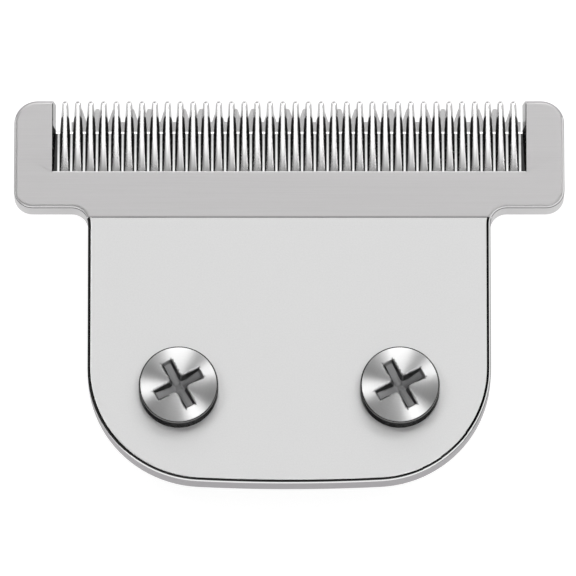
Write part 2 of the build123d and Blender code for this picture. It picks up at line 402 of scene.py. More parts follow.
def comb_finish():
    """Satin on the body, ground on the bar with a painted shade line at its step, and polished on the teeth
    with painted shade at the roots and a painted highlight at the tips.
    """
    material, tree, shader, place = new_finish("ground_comb_steel")
    x, y, z = split(tree, place)
    on_bar = fade(tree, y, (GRIND_Y - HAIR) * MM, (GRIND_Y + HAIR) * MM)
    inside = calc(tree, "LESS_THAN", calc(tree, "ABSOLUTE", x), TEETH_HALF * MM)
    beyond = calc(tree, "GREATER_THAN", y, (ROOT_Y - 0.1 * HAIR) * MM)
    on_teeth = calc(tree, "MULTIPLY", inside, beyond)
    grain = noise(tree, place, 9000, 2.0)
    lines = noise(tree, place, 1.0, 3.0, stretch=(180, 14000, 900))
    body = blend(tree, grain, (0.735, 0.735, 0.737, 1), (0.805, 0.805, 0.803, 1))
    bar = blend(tree, lines, (0.50, 0.492, 0.495, 1), (0.56, 0.552, 0.555, 1))
    # A painted shade line darkens the bar just above its step.
    from_step = calc(tree, "ABSOLUTE", calc(tree, "SUBTRACT", y, (GRIND_Y + STEP_SHADE) * MM))
    step_end = fade(tree, from_step, 0.5 * STEP_SHADE * MM, 1.5 * STEP_SHADE * MM)
    bar = blend(tree, step_end, (0.36, 0.355, 0.357, 1), bar)
    # The teeth are painted dark at the roots as shade and bright towards the tips as a highlight.
    tip_highlight = fade(tree, y, ROOT_Y * MM, (ROOT_Y + TIP_HIGHLIGHT_LENGTH) * MM)
    teeth = blend(tree, tip_highlight, (0.34, 0.337, 0.337, 1), (0.70, 0.695, 0.695, 1))
    colour = blend(tree, on_teeth, blend(tree, on_bar, body, bar), teeth)
    rough = grained(tree, noise(tree, place, 160, 2.0), 0.385, 0.40)
    rough = calc(tree, "SUBTRACT", rough, calc(tree, "MULTIPLY", on_teeth, 0.12))
    coat(tree, shader, colour, rough)
    height = blend(tree, on_bar, grain, lines, "FLOAT")
    height = calc(tree, "MULTIPLY", height, calc(tree, "SUBTRACT", 1.0, on_teeth))
    raise_bump(tree, shader, height, 1.2)
    return material


comb_steel = comb_finish()
print("finish", comb_steel.name)

# %% [markdown]
# The plate's edge is blanked, and its grey is painted darker as shade. Its rounded rim mirrors the dark and
# the bright parts of a studio as fine lines. Reflections alone would move those lines with every change of
# light, so the lines are painted in: a satin steel, a glossy bright one painted lighter than the bar as a
# highlight, a painted black line and a painted grey shade. A metal mirrors everything where light grazes
# it. Specular Tint sets how much of that is left, and a painted dark line needs little of it to stay dark.

# %% Steels of the edge and the rim


def grain_finish(name, dark, pale, rough, grazing=1.0, scale=2600, stretch=(1, 1, 1), microns=2.0, metal=1.0):
    """A finish whose colour, roughness and height follow one noise."""
    material, tree, shader, place = new_finish(name)
    grain = noise(tree, place, scale, 3.0, stretch)
    coat(tree, shader, blend(tree, grain, dark, pale), grained(tree, grain, *rough), metal)
    shader.inputs["Specular Tint"].default_value = grey(grazing)
    raise_bump(tree, shader, grain, microns)
    return material


# Painted shade: the edge steel is a darker grey, the dark rim steel a black line and the shaded rim steel a
# dark grey line. The bright rim steel is painted lighter than the bar.
edge_shade_steel = grain_finish("painted_shade_edge_steel", (0.30, 0.29, 0.30, 1), (0.38, 0.365, 0.38, 1), (0.40, 0.50))
satin_rim = grain_finish("satin_rim_steel", (0.55, 0.54, 0.545, 1), (0.62, 0.61, 0.615, 1), (0.46, 0.54))
bright_rim = grain_finish("bright_rim_steel", grey(0.74), grey(0.80), (0.14, 0.20))
painted_dark_rim = grain_finish("painted_dark_line_steel", grey(0.025), grey(0.05), (0.10, 0.16), 0.1)
shaded_rim = grain_finish("shaded_rim_steel", (0.14, 0.138, 0.14, 1), (0.18, 0.177, 0.18, 1), (0.30, 0.40))
print("finishes", [m.name for m in (edge_shade_steel, satin_rim, bright_rim, painted_dark_rim, shaded_rim)])

# %% [markdown]
# The groove floors are light along the middle and painted black beside it, as shade in the corners, and
# they grow darker towards the exit. The flanks are painted a darker grey as shade, a little lighter at the
# tips, and a low Specular Tint keeps grazing light off them. A mask could be painted for each groove.
# Instead the ping-pong node folds X back at every half pitch, so one value gives the distance from the
# nearest groove's middle, for all of them.

# %% Steels of the grooves and the tips
TOOTH_PITCH = 0.9326
EXIT_Y = 19.9
CORNER_SHADE_START, CORNER_SHADE_END = 0.045, 0.105
TIP_ZONE_START, TIP_ZONE_END = 20.6, 21.6


def groove_finish(name, middle_root, middle_exit, deep, tip, grazing):
    """A ground steel whose colour changes across and along each groove, with painted shade beside the middle.
    """
    material, tree, shader, place = new_finish(name)
    x, y, z = split(tree, place)
    across = calc(tree, "PINGPONG", x, TOOTH_PITCH / 2 * MM)
    along = blend(tree, fade(tree, y, ROOT_Y * MM, EXIT_Y * MM), middle_root, middle_exit)
    colour = blend(tree, fade(tree, across, CORNER_SHADE_START * MM, CORNER_SHADE_END * MM), along, deep)
    colour = blend(tree, fade(tree, y, TIP_ZONE_START * MM, TIP_ZONE_END * MM), colour, tip)
    coat(tree, shader, colour, grained(tree, noise(tree, place, 2600, 3.0), 0.22, 0.28))
    shader.inputs["Specular Tint"].default_value = grey(grazing)
    return material


# Painted shade: black beside the middle of each groove floor, and a darker grey on the flanks, painted
# lighter at the tips.
black, flank_shade = grey(0.02), grey(0.42)
floor_steel = groove_finish("groove_floor_steel", grey(0.38), grey(0.26), black, black, 1.0)
flank_steel = groove_finish("groove_flank_steel", flank_shade, flank_shade, flank_shade, grey(0.55), 0.05)
tip_steel = grain_finish("tooth_tip_steel", grey(0.32), grey(0.40), (0.26, 0.32))
print("finishes", floor_steel.name, flank_steel.name, tip_steel.name)

# %% [markdown]
# The cutter is harder tool steel, ground along its flats, and the spring is drawn wire. Both are one noise
# each: it is stretched into lines on the cutter, and left round on the wire.

# %% Steel of the cutter and the spring
dark, pale = (0.59, 0.585, 0.585, 1), (0.68, 0.675, 0.675, 1)
cutter_steel = grain_finish(
    "cutter_tool_steel", dark, pale, (0.3, 0.4), scale=1.0, stretch=(200, 9000, 900), microns=1.2
)
dark, pale = (0.50, 0.50, 0.51, 1), grey(0.62)
spring_wire = grain_finish("drawn_spring_wire", dark, pale, (0.24, 0.36), scale=2500, microns=1.0)
print("finishes", cutter_steel.name, spring_wire.name)

# %% [markdown]
# The screws are turned. The lathe leaves fine rings round the axis, and light on such rings spreads into
# bright and dark wedges. Modelled rings would need thousands of faces, so the shader does it with
# anisotropy. That needs a direction at each point, which is the arm from the axis to the point. The recess
# is pressed and not turned, so it is duller, and its colour is painted darker as shade. The side of the head
# is painted a dark grey and its rim a black line, both as painted shade, and a low Specular Tint keeps
# grazing light off them.

# %% Steel of the screws
SCREW_X = 8.0
RECESS_OUT = (2.0, 2.1)
RECESS_MOUTH_Z = (5.42, 5.50)
RECESS_FOOT_Z = 4.3


def turned_finish(name, x):
    """Lathe rings round one screw's axis, with the recess painted darker as shade."""
    material, tree, shader, place = new_finish(name)
    arm = add_node(tree, "ShaderNodeMapping", Vector=place, Location=(-x * MM, 0, 0)).outputs[0]
    u, v, z = split(tree, arm)
    outward = add_node(tree, "ShaderNodeCombineXYZ", X=u, Y=v).outputs[0]
    tree.links.new(outward, shader.inputs["Tangent"])
    squares = calc(tree, "ADD", calc(tree, "MULTIPLY", u, u), calc(tree, "MULTIPLY", v, v))
    reach = calc(tree, "SQRT", squares)
    along = add_node(tree, "ShaderNodeCombineXYZ", X=reach).outputs[0]
    lathe = noise(tree, along, 16000, 3.0)
    near = fade(tree, reach, *(r * MM for r in RECESS_OUT), 1.0, 0.0)
    sunk = fade(tree, z, *(h * MM for h in RECESS_MOUTH_Z), 1.0, 0.0)
    in_head = calc(tree, "GREATER_THAN", z, RECESS_FOOT_Z * MM)
    deep = calc(tree, "MULTIPLY", calc(tree, "MULTIPLY", near, sunk), in_head)
    # Painted shade: the recess is coloured darker than the turned top.
    colour = blend(tree, deep, blend(tree, lathe, grey(0.57), grey(0.71)), (0.25, 0.25, 0.253, 1))
    rough = calc(tree, "ADD", grained(tree, lathe, 0.29, 0.35), calc(tree, "MULTIPLY", deep, 0.12))
    coat(tree, shader, colour, rough)
    shader.inputs["Anisotropic"].default_value = 0.95
    raise_bump(tree, shader, lathe, 1.5)
    return material


left_turned = turned_finish("turned_steel_left", -SCREW_X)
right_turned = turned_finish("turned_steel_right", SCREW_X)
# Painted shade: the head's side is a dark grey and its rim a black line.
head_side_shade = grain_finish("head_side_shade_steel", grey(0.22), grey(0.28), (0.26, 0.32), 0.05)
head_rim_shade = grain_finish("head_rim_shade_steel", grey(0.05), grey(0.08), (0.20, 0.26), 0.1)
print("finishes", left_turned.name, right_turned.name, head_side_shade.name, head_rim_shade.name)

# %% [markdown]
# The two mouldings behind the plate are plain plastics. The frame is black with a spark-eroded grain, and
# the carrier is natural white acetal, which is smooth, a little waxy and slightly see-through. Subsurface
# light gives the wax, because real transparency would show the faces inside.

# %% Plastics
dark, pale = (0.022, 0.022, 0.024, 1), (0.040, 0.040, 0.043, 1)
black_plastic = grain_finish(
    "black_moulded_plastic", dark, pale, (0.48, 0.62), scale=5200, microns=12.0, metal=0.0
)
dark, pale = (0.80, 0.79, 0.75, 1), (0.86, 0.855, 0.82, 1)
white_acetal = grain_finish("white_acetal", dark, pale, (0.30, 0.40), scale=700, microns=3.0, metal=0.0)
shader = white_acetal.node_tree.nodes["Principled BSDF"]
shader.inputs["Subsurface Weight"].default_value = 0.15
shader.inputs["Subsurface Radius"].default_value = (0.0010, 0.0009, 0.0007)
shader.inputs["Subsurface Scale"].default_value = 0.5
print("finishes", black_plastic.name, white_acetal.name)

# %% [markdown]
# ## Comb plate
# The plate is blanked from 2 mm sheet. It is a T: a body like a shield, with a bowed bottom edge and round
# corners, and a bar with an ear at each end. Boxes and cylinders could be joined to make it, but its rim
# would not be one line. So half of the outline is drawn with ruler and compass and made a block. The frame
# has the same shield form.

# %% Outline of the comb plate
BACK, FRONT = 2.0, 4.0
BOW = 130.0
BODY_HALF, BODY_DROP, BODY_CORNER = 14.6, 6.95, 8.4
NECK_Y, NECK_R = 12.45, 1.2
BAR_HALF, BAR_CORNER = 20.0, 1.35
EAR_TOP, EAR_CORNER = 21.9, 1.7
TOOTH_COUNT = 36
zone = TOOTH_PITCH * TOOTH_COUNT / 2


def shield_corner(half, drop, corner):
    """The centre of a shield's round corner, and the angle at which the bowed bottom edge meets it."""
    x = half - corner
    rise = math.sqrt((BOW - corner) ** 2 - x**2)
    return x, BOW - drop - rise, math.degrees(math.atan2(x, rise))


def shield_side(bm, half, drop, corner, z, top):
    """The right side of a shield: half of the bowed bottom edge, a round corner and a straight side."""
    x, y, lean = shield_corner(half, drop, corner)
    moves = ((0, BOW - drop, lean, 10), (x, y, 90 - lean, 24), (half, top))
    return draw_path(bm, start_line(bm, 0, -drop, z), z, moves)


plate = bmesh.new()
end = shield_side(plate, BODY_HALF, BODY_DROP, BODY_CORNER, BACK, NECK_Y)
bar_x, bar_y = BAR_HALF - BAR_CORNER, NECK_Y + NECK_R
ear_x, ear_y = BAR_HALF - EAR_CORNER, EAR_TOP - EAR_CORNER
neck = ((BODY_HALF + NECK_R, NECK_Y, -90, 10), (bar_x, bar_y), (bar_x, bar_y + BAR_CORNER, 90, 10))
ear = ((BAR_HALF, ear_y), (ear_x, ear_y, 90, 12), (zone, EAR_TOP), (zone, ROOT_Y), (0, ROOT_Y))
draw_path(plate, end, BACK, neck + ear)
block_from_half(plate, FRONT - BACK)
print("plate blank faces", len(plate.faces))

# %% [markdown]
# The front of the bar is ground to a slope of 4 degrees behind a tiny step, which makes the teeth thin at
# their tips. A tilted block could be taken away from it. Two cuts across the plate and a move of the front
# vertices beyond them do the same and keep the outline. The ears' inner walls lean, so the opening is wider
# in front.

# %% Ground bar and ears
GRIND_STEP = 0.06
STEP_HALF = 0.03
EAR_FRONT, EAR_FOOT = zone + 0.42, zone + 0.2
MIDPLANE = (BACK + FRONT) / 2
slope = math.tan(math.radians(4.0))


def bar_front(y):
    """The height of the ground front."""
    return FRONT - GRIND_STEP - (y - GRIND_Y) * slope


for side in (-1, 1):
    cut_line(plate, (0, GRIND_Y + side * STEP_HALF, 0), Y_AXIS)
for v in plate.verts:
    x, y, z = v.co / MM
    if z > FRONT - HAIR and y > GRIND_Y + STEP_HALF - HAIR:
        v.co.z = bar_front(y) * MM
    if abs(abs(x) - zone) < HAIR and y > ROOT_Y - HAIR:
        v.co.x = math.copysign(EAR_FRONT if z > MIDPLANE else EAR_FOOT, x) * MM
print("bar front falls to z", round(bar_front(EAR_TOP), 3), "at the ears' tops")

# %% [markdown]
# At the tooth roots the front falls away in a narrow land, where the wheel ran in. A bevel would round it,
# but the land is flat, so three cuts mark it and its far edge is lowered.

# %% Root land
LAND_WIDTH, LAND_DROP = 0.09, 0.03
land_y = ROOT_Y - LAND_WIDTH
land_x = EAR_FRONT - 0.03


def root_fronts(low_y):
    """The front faces that reach the tooth roots and lie beyond a line."""
    found = []
    for f in plate.faces:
        ys = [v.co.y / MM for v in f.verts]
        if f.normal.z > 0.99 and max(ys) > ROOT_Y - HAIR and min(ys) > low_y - HAIR:
            found.append(f)
    return found


plate.normal_update()
cut_line(plate, (0, land_y, 0), Y_AXIS, touching(root_fronts(GRIND_Y)))
for x in (-land_x, land_x):
    cut_line(plate, (x, 0, 0), X_AXIS, touching(root_fronts(land_y)))
for v in plate.verts:
    x, y, z = v.co / MM
    if abs(y - ROOT_Y) < HAIR and z > MIDPLANE and abs(x) < land_x + HAIR:
        v.co.z -= LAND_DROP * MM
print("root land from y", round(land_y, 2), "to", ROOT_Y)

# %% [markdown]
# The rim is tumbled round. Its 15 facets of 6 degrees are narrow enough to take the fine lines of dark and
# bright steel later on. The edges of the opening only lose their burr. A Bevel modifier would treat all
# edges alike.

# %% Rounded rim
RIM_R, RIM_STEPS = 0.3, 15
OPENING_X = 17.4
ROOT_ZONE = 0.1


def is_front(face):
    """A face of the front."""
    return face.normal.z > 0.97


def is_wall(face):
    """A face that stands upright, or nearly."""
    return abs(face.normal.z) < 0.4


def in_opening(place):
    """Whether a place lies between the ears."""
    return abs(place.x) < OPENING_X and place.y > ROOT_Y - ROOT_ZONE


plate.normal_update()
rim = [e for e in edges_between(plate, is_front, is_wall) if not in_opening(middle(e))]
soften(plate, rim, RIM_R, RIM_STEPS)
plate.normal_update()
inner = [e for e in edges_between(plate, is_front, is_wall) if in_opening(middle(e))]
soften(plate, inner, 0.05, 2)
print("rim edges rounded", len(rim), "and in the opening", len(inner))

# %% [markdown]
# Behind the teeth a wedge of steel carries the groove floors down to the plate's back. It is pulled out of
# the wall at the tooth roots, as one piece with the plate. Its thin end is left as a small lip, as a wheel
# leaves it.

# %% Wedge under the grooves
GROOVE_DEPTH = 0.42
ROOT_DROP = 0.06
LIP_LENGTH, LIP_START, LIP_END = 0.16, 0.062, 0.05
lip_y = EXIT_Y - LIP_LENGTH
floor_start = bar_front(ROOT_Y) - ROOT_DROP - GROOVE_DEPTH - BACK


def root_walls():
    """The wall at the tooth roots."""
    plate.normal_update()
    walls = [f for f in plate.faces if f.normal.y > 0.9]
    return [f for f in walls if abs(f.calc_center_median().y / MM - ROOT_Y) < HAIR]


def pull_faces(bm, faces):
    """Frees some faces to be pulled away, with walls behind them. Gives the vertices to move."""
    out = bmesh.ops.extrude_face_region(bm, geom=faces)["geom"]
    bmesh.ops.delete(bm, geom=faces, context="FACES")
    return pick(out, Vert)


cut_line(plate, (0, 0, BACK + floor_start), Z_AXIS, touching(root_walls()))
low_walls = [f for f in root_walls() if f.calc_center_median().z < (BACK + floor_start) * MM]
for v in pull_faces(plate, low_walls):
    x = math.copysign(EAR_FOOT, v.co.x) if abs(v.co.x) > MM else 0
    z = BACK if v.co.z < (BACK + 0.5) * MM else BACK + LIP_END
    v.co = Vector((x, EXIT_Y, z)) * MM
wedge = []
for f in plate.faces:
    places = [v.co / MM for v in f.verts]
    if all(ROOT_Y - HAIR < p.y < EXIT_Y + HAIR and abs(p.x) < EAR_FRONT + 0.03 for p in places):
        wedge.append(f)
cut_line(plate, (0, lip_y, 0), Y_AXIS, touching(wedge))
for v in plate.verts:
    x, y, z = v.co / MM
    if abs(y - lip_y) < HAIR and z > BACK + 2 * HAIR and abs(x) < EAR_FOOT + 0.05:
        v.co.z = (BACK + LIP_START) * MM
print("groove floor falls", round(floor_start, 3), "mm to the exit")

# %% [markdown]
# A shallow hollow runs across the back, so that the cutter touches only two narrow lands and stays cool.
# Two holes take the screws. Each hole is a ring of edges: both flats are filled again round the rings, and
# a bridge between them is the bore. That leaves no thin slivers, as a Boolean would.

# %% Hollow and screw holes
HOLLOW_LOW, HOLLOW_HIGH, HOLLOW_DEPTH = 14.71, 17.79, 0.3
EAR_BRIGHT_Y = EXIT_Y + 0.1
SCREW_HOLE_R = 1.65


def drill(bm, places, radius, segments=48):
    """Round holes through the two largest flat faces of a plate."""
    bores = [[] for _ in places]
    for face in sorted(bm.faces, key=lambda f: f.calc_area())[-2:]:
        rim = face.edges[:]
        normal = face.normal.copy()
        z = face.verts[0].co.z
        bmesh.ops.delete(bm, geom=[face], context="FACES_ONLY")
        for bore, (x, y) in zip(bores, places):
            spot = Matrix.Translation((x * MM, y * MM, z))
            ring = bmesh.ops.create_circle(bm, radius=radius * MM, segments=segments, matrix=spot)["verts"]
            bore.extend(edges_of(ring))
            rim.extend(edges_of(ring))
        bmesh.ops.triangle_fill(bm, use_beauty=True, edges=rim, normal=normal)
    for bore in bores:
        bmesh.ops.bridge_loops(bm, edges=bore)


for y in (HOLLOW_LOW - HAIR, HOLLOW_LOW + HAIR, HOLLOW_HIGH - HAIR, HOLLOW_HIGH + HAIR):
    cut_line(plate, (0, y, 0), Y_AXIS)
walls = [f for f in plate.faces if abs(f.normal.x) > 0.8]
ear_walls = [f for f in walls if abs(f.calc_center_median().x) < OPENING_X * MM]
cut_line(plate, (0, EAR_BRIGHT_Y, 0), Y_AXIS, touching(ear_walls))
for v in plate.verts:
    if v.co.z < (BACK + 0.1 * HAIR) * MM and HOLLOW_LOW < v.co.y / MM < HOLLOW_HIGH:
        v.co.z += HOLLOW_DEPTH * MM
plate.normal_update()
drill(plate, [(-SCREW_X, 0), (SCREW_X, 0)], SCREW_HOLE_R)
print("plate faces", len(plate.faces))

# %% [markdown]
# ## Comb teeth
# A grinding wheel cuts 37 slanting grooves and leaves 36 teeth. The grooves could be taken out of the plate
# one by one. It is simpler to make one tooth: its side view is drawn with one arc for the curved front,
# pulled to one pitch in width and cut by the two planes that the wheel leaves. That gives the true leaning
# flanks with few faces.

# %% One tooth
TIP_Y, TIP_HIGH = 22.1, 0.35
BEVEL_R = 20.0
FLOOR_HALF = 0.1
BRIGHT_Y = 20.9
TAIL = 0.05
lean_wall = math.tan(math.radians(11.3))
floor_fall = floor_start / (EXIT_Y - ROOT_Y)
front_root = floor_start + GROOVE_DEPTH
chord = Vector((TIP_Y - ROOT_Y, TIP_HIGH - front_root))
depth = math.sqrt(BEVEL_R**2 - (chord.length / 2) ** 2)
hub = Vector((ROOT_Y, front_root)) + chord / 2 + Vector((chord.y, -chord.x)).normalized() * depth
sweep = math.degrees(2 * math.asin(chord.length / 2 / BEVEL_R))

tooth = bmesh.new()
left = -TOOTH_PITCH / 2
end = start_line(tooth, left, ROOT_Y, BACK + front_root)
end = swing(tooth, end, (left, hub.x, BACK + hub.y), -sweep, 14, X_AXIS)
tail_y = ROOT_Y - TAIL
tail = ((tail_y, floor_start - 2 * HAIR), (tail_y, front_root), (ROOT_Y, front_root))
for y, z in ((TIP_Y, 0), (EXIT_Y, 0), *tail):
    end = draw_to(tooth, end, left, y, BACK + z)
fill_line(tooth)
thicken(tooth, (TOOTH_PITCH, 0, 0))
for side in (-1, 1):
    normal = Vector((-side, -lean_wall * floor_fall, -lean_wall))
    flank = (side * (TOOTH_PITCH / 2 - FLOOR_HALF), ROOT_Y, BACK + floor_start)
    bmesh.ops.edgeloop_fill(tooth, edges=cut_line(tooth, flank, normal, clear_inner=True))
cut_line(tooth, (0, BRIGHT_Y, 0), Y_AXIS)
bmesh.ops.recalc_face_normals(tooth, faces=tooth.faces[:])
print("tooth faces after grinding", len(tooth.faces))

# %% [markdown]
# A comb must not scratch, so the tip of each tooth is rounded in plan and at its nose, and the ridges along
# its front are broken. Then copies stand side by side. An Array modifier could repeat the tooth, but the
# row belongs to one mesh with the plate.

# %% Soften the tooth and set out the row


def tip_uprights(bm, tip_y):
    """The edges that stand upright at the tips."""
    found = []
    for e in bm.edges:
        one, other = (v.co / MM for v in e.verts)
        if min(one.y, other.y) > tip_y - HAIR and abs(one.z - other.z) > 0.1:
            found.append(e)
    return found


def set_out_row(bm, count, pitch):
    """Copies of all that is in a mesh, side by side."""
    first = bm.verts[:] + bm.edges[:] + bm.faces[:]
    for i in range(1, count):
        copy = bmesh.ops.duplicate(bm, geom=first)["geom"]
        bmesh.ops.translate(bm, verts=pick(copy, Vert), vec=(i * pitch * MM, 0, 0))


def is_tooth_front(face):
    """A face of a tooth's front."""
    return face.normal.z > 0.85


soften(tooth, tip_uprights(tooth, TIP_Y), 0.09, 4)
tooth.normal_update()
soften(tooth, edges_between(tooth, is_tooth_front, lambda f: f.normal.y > 0.5), 0.10, 3)
tooth.normal_update()
ridge = edges_between(tooth, is_tooth_front, lambda f: f.normal.z < 0.6)
soften(tooth, [e for e in ridge if middle(e).y > ROOT_Y - 2 * HAIR], 0.02, 2)
for v in tooth.verts:
    v.co.y = min(v.co.y, TIP_Y * MM)
bmesh.ops.translate(tooth, verts=tooth.verts[:], vec=((0.5 - TOOTH_COUNT / 2) * TOOTH_PITCH * MM, 0, 0))
set_out_row(tooth, TOOTH_COUNT, TOOTH_PITCH)
print("teeth", TOOTH_COUNT, "with faces", len(tooth.faces))

# %% [markdown]
# Each face of the comb now takes its steel. The rim shows fine painted lines of light and shade. On the body
# a painted black line runs round, with a bright one outside it, and on the right a painted grey shade
# outside both. Below the bar a painted bright line and then a painted shaded one follow the satin. Upright
# edges take the painted shade of the edge steel, and the noses of the tips a painted dark outline.
# Painting by the angle of a facet keeps these lines in place from all sides and in an export.

# %% Choose the steel of each face
GROUND, EDGE_SHADE, FLANK, FLOOR, SATIN, BRIGHT, TIP, PAINTED_DARK, SHADED = range(9)
BRIGHT_SUNK, SHADED_SUNK, SHADED_END = 0.06, 0.125, 0.21
ROOT_HALF = 17.2


def portion(value, low, high):
    """How far a value has come from one end to the other."""
    return min(max((value - low) / (high - low), 0), 1)


def body_rim_line(normal):
    """The line of the body's rim that a facet belongs to, by how steep it is and where it faces."""
    steep = math.degrees(math.acos(normal.z))
    sideways = normal.x / math.hypot(normal.x, normal.y)
    right, left = portion(sideways, 0.3, 0.9), portion(-sideways, 0.6, 0.95)
    if steep < 18 - 18 * right:
        return GROUND
    if steep < 54 - 18 * right + 36 * left:
        return PAINTED_DARK
    return BRIGHT if steep < 90 - 36 * right else SHADED


def bar_rim_line(normal, sunk):
    """The line of the bar's rim that a facet belongs to, by how far it lies below the front."""
    if normal.y > 0.25:
        return EDGE_SHADE if sunk > BRIGHT_SUNK else SATIN
    if BRIGHT_SUNK < sunk < SHADED_SUNK:
        return BRIGHT
    return SHADED if SHADED_SUNK < sunk < SHADED_END else SATIN


def plate_steel(normal, x, y, z):
    """The steel of a face of the plate."""
    if abs(x) < ROOT_HALF and abs(y - ROOT_Y) < ROOT_ZONE and 0.8 < normal.z < 0.97:
        return GROUND
    if abs(x) < OPENING_X and y > ROOT_Y + ROOT_ZONE:
        if y > lip_y and normal.z > 0.98:
            return GROUND
        if abs(normal.x) < 0.8:
            return FLOOR
        return FLANK if y < EAR_BRIGHT_Y else TIP
    if y < GRIND_Y + 2 * HAIR and 0.05 < normal.z < 0.999:
        return body_rim_line(normal)
    if y > GRIND_Y + 2 * HAIR and 0.05 < normal.z < 0.96:
        return bar_rim_line(normal, bar_front(y) - z)
    return EDGE_SHADE if y < GRIND_Y and abs(normal.z) < 0.05 else GROUND


for f in plate.faces:
    f.material_index = plate_steel(f.normal, *(f.calc_center_median() / MM))
for f in tooth.faces:
    y = f.calc_center_median().y / MM
    if abs(f.normal.x) > 0.8:
        f.material_index = FLANK if y < BRIGHT_Y else TIP
    # A painted dark outline runs round the noses of the tips.
    elif y > TIP_Y - 0.12 and f.normal.z < 0.89:
        f.material_index = PAINTED_DARK
print("dark faces on the plate", sum(f.material_index == PAINTED_DARK for f in plate.faces))

# %% Comb plate with its teeth
comb = bmesh.new()
add_shell(comb, plate)
add_shell(comb, tooth)
comb_steels = [comb_steel, edge_shade_steel, flank_steel, floor_steel]
comb_steels += [satin_rim, bright_rim, tip_steel, painted_dark_rim, shaded_rim]
make_piece(comb, "comb_plate", "blade_base", "fixed_blade", comb_steels)

# %% [markdown]
# ## Cutter
# The cutter is a flat plate with 26 coarser teeth, ground to a bevel on its back. Teeth and plate could be
# joined afterwards. All of it can be drawn as one outline instead: a single tooth is drawn, copied along
# the edge and joined up, and the waist that passes between the frame's arms closes the line.

# %% Cutter outline
SHIFT = 0.5
CUT_PITCH, CUT_COUNT = 1.2585, 26
CUT_TIP, CUT_ROOT = 21.65, 20.65
GAP_HALF, POINT_HALF = 0.17, 0.13
CUT_FRONT, CUT_BACK = 1.98, 1.18
SHOULDER_Y, CUT_LOW, WAIST_HALF = 14.4, 8.25, 9.4
row_half = CUT_PITCH * CUT_COUNT / 2
rising = ((0, CUT_ROOT), (GAP_HALF, CUT_ROOT), (CUT_PITCH / 2 - POINT_HALF, CUT_TIP))
falling = [(CUT_PITCH - x, y) for x, y in reversed(rising)]

cutter = bmesh.new()
draw_along(cutter, [(x - row_half, y, CUT_FRONT) for x, y in (*rising, *falling)])
set_out_row(cutter, CUT_COUNT, CUT_PITCH)
end = max(cutter.verts, key=lambda v: v.co.x)
right_side = ((row_half, SHOULDER_Y), (WAIST_HALF, SHOULDER_Y), (WAIST_HALF, CUT_LOW))
left_side = [(-x, y) for x, y in reversed(right_side)]
draw_path(cutter, end, CUT_FRONT, (*right_side, *left_side, (-row_half, CUT_ROOT)))
fill_line(cutter)
thicken(cutter, (0, 0, CUT_BACK - CUT_FRONT))
print("cutter blank faces", len(cutter.faces))

# %% Cutter bevel, points and rivet holes
BEVEL_LENGTH, BEVEL_RISE = 3.9, 0.58
RIVET_X, RIVET_Y, RIVET_HOLE_R = 5.8, 10.725, 0.95
bevel_y = CUT_TIP - BEVEL_LENGTH

cut_line(cutter, (0, bevel_y, 0), Y_AXIS)
for v in cutter.verts:
    x, y, z = v.co / MM
    if z < CUT_BACK + HAIR and y > bevel_y:
        v.co.z += (y - bevel_y) / BEVEL_LENGTH * BEVEL_RISE * MM
cutter.normal_update()
soften(cutter, tip_uprights(cutter, CUT_TIP), 0.12, 4)
waist = edges_between(cutter, lambda f: abs(f.normal.z) > 0.9, lambda f: abs(f.normal.z) < 0.2)
soften(cutter, [e for e in waist if middle(e).y < SHOULDER_Y + 0.1], 0.06, 2)
drill(cutter, [(-RIVET_X, RIVET_Y), (RIVET_X, RIVET_Y)], RIVET_HOLE_R, 32)
bmesh.ops.translate(cutter, verts=cutter.verts[:], vec=(SHIFT * MM, 0, 0))
bmesh.ops.recalc_face_normals(cutter, faces=cutter.faces[:])
make_piece(cutter, "cutter_plate", "cutter", "moving_blade", [cutter_steel])

# %% [markdown]
# ## Screws
# A screw is turned, so its side view is drawn from the axis outwards and spun once round. The head's top is
# a flat dome that runs into a small rounded rim. Cylinders could be stacked instead, but then they would
# only touch.

# %% Screw blank
HEAD_TOP, HEAD_R, HEAD_EDGE = 5.72, 2.875, 0.2
DOME_R = 12.0
SHANK_R, CORE_R = 1.325, 1.24
SCREW_END = -4.0


def full_spin(bm, centre, axis, steps):
    """Spins a drawn side view once round."""
    geom, angle = bm.verts[:] + bm.edges[:], 2 * math.pi
    centre = Vector(centre) * MM
    bmesh.ops.spin(bm, geom=geom, cent=centre, axis=axis, angle=angle, steps=steps, use_merge=True)
    merge_doubles(bm)
    bmesh.ops.recalc_face_normals(bm, faces=bm.faces[:])


def screw_blank(x):
    """Head, shank and core of the thread."""
    bm = bmesh.new()
    lean = math.asin((HEAD_R - HEAD_EDGE) / (DOME_R - HEAD_EDGE))
    hub = HEAD_TOP - DOME_R + (DOME_R - HEAD_EDGE) * math.cos(lean)
    lean = math.degrees(lean)
    end = start_line(bm, x, 0, HEAD_TOP)
    end = swing(bm, end, (x, 0, HEAD_TOP - DOME_R), lean, 10, Y_AXIS)
    end = swing(bm, end, (x + HEAD_R - HEAD_EDGE, 0, hub), 90 - lean, 6, Y_AXIS)
    shank = ((HEAD_R, FRONT), (SHANK_R, FRONT), (SHANK_R, 0.02), (CORE_R, -0.06))
    point = ((CORE_R, SCREW_END + 0.24), (1.0, SCREW_END), (0, SCREW_END))
    for r, z in shank + point:
        end = draw_to(bm, end, x + r, 0, z)
    full_spin(bm, (x, 0, 0), Z_AXIS, 96)
    return bm


print("screw from z", SCREW_END, "to", HEAD_TOP)

# %% [markdown]
# The cross recess is pressed by a punch. Its outline is scored into the head's top by plane cuts, two for
# each arm and three short ones for each rounded inner corner. It is scored twice: once for the mouth and
# once a little wider, so that the lip can be broken. A Boolean with a cross would leave a lip that is sharp
# all round.

